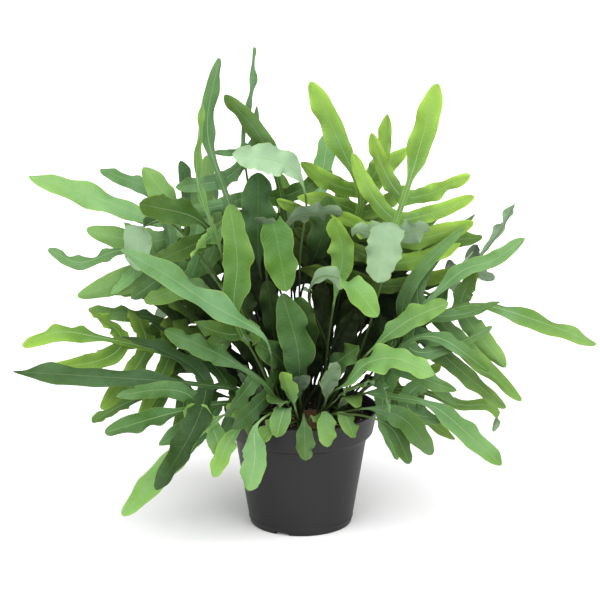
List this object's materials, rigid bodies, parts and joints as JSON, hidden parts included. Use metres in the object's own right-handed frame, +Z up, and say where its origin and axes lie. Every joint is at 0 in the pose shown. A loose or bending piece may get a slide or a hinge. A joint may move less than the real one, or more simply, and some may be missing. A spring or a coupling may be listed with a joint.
{
  "type": "potted fern",
  "caption": "Polypody fern with strap-lobed, wavy, blue-green fronds growing from a creeping rhizome in a plain round nursery pot that stands on its flat base.",
  "frame": {"origin": "centre of the pot's flat underside, on the floor", "axes": "+Z up along the pot's axis; +X to the right as seen from the front, along the fern's widest spread; the fern's front faces -Y"},
  "size_m": [0.6272, 0.4472, 0.527],
  "materials": {
    "leaf": "satin",
    "pot": "satin",
    "soil": "matte",
    "rhizome": "matte"
  },
  "bodies": {
    "root": {"back_clump_2": "leaf", "back_clump_3": "leaf", "back_clump_4": "leaf", "frond_01": "leaf", "frond_02": "leaf", "frond_03": "leaf", "frond_04": "leaf", "frond_05": "leaf", "frond_06": "leaf", "frond_07": "leaf", "frond_08": "leaf", "frond_09": "leaf", "frond_10": "leaf", "frond_11": "leaf", "frond_12": "leaf", "frond_13": "leaf", "frond_14": "leaf", "frond_15": "leaf", "frond_16": "leaf", "frond_17": "leaf", "frond_18": "leaf", "frond_19": "leaf", "frond_20": "leaf", "frond_21": "leaf", "frond_22": "leaf", "frond_23": "leaf", "frond_24": "leaf", "frond_25": "leaf", "frond_26": "leaf", "frond_27": "leaf", "frond_28": "leaf", "frond_29": "leaf", "frond_30": "leaf", "frond_31": "leaf", "frond_32": "leaf", "frond_33": "leaf", "frond_34": "leaf", "frond_35": "leaf", "frond_36": "leaf", "front_clump_1": "leaf", "front_clump_2": "leaf", "front_clump_3": "leaf", "front_clump_4": "leaf", "front_clump_5": "leaf", "front_clump_6": "leaf", "middle_clump_1": "leaf", "middle_clump_3": "leaf", "middle_clump_4": "leaf", "middle_clump_5": "leaf", "middle_clump_6": "leaf", "pot": "pot", "rhizome": "rhizome", "soil": "soil", "tuft_1": "leaf", "tuft_2": "leaf", "tuft_3": "leaf", "tuft_4": "leaf", "tuft_5": "leaf", "tuft_6": "leaf"}
  },
  "joints": []
}
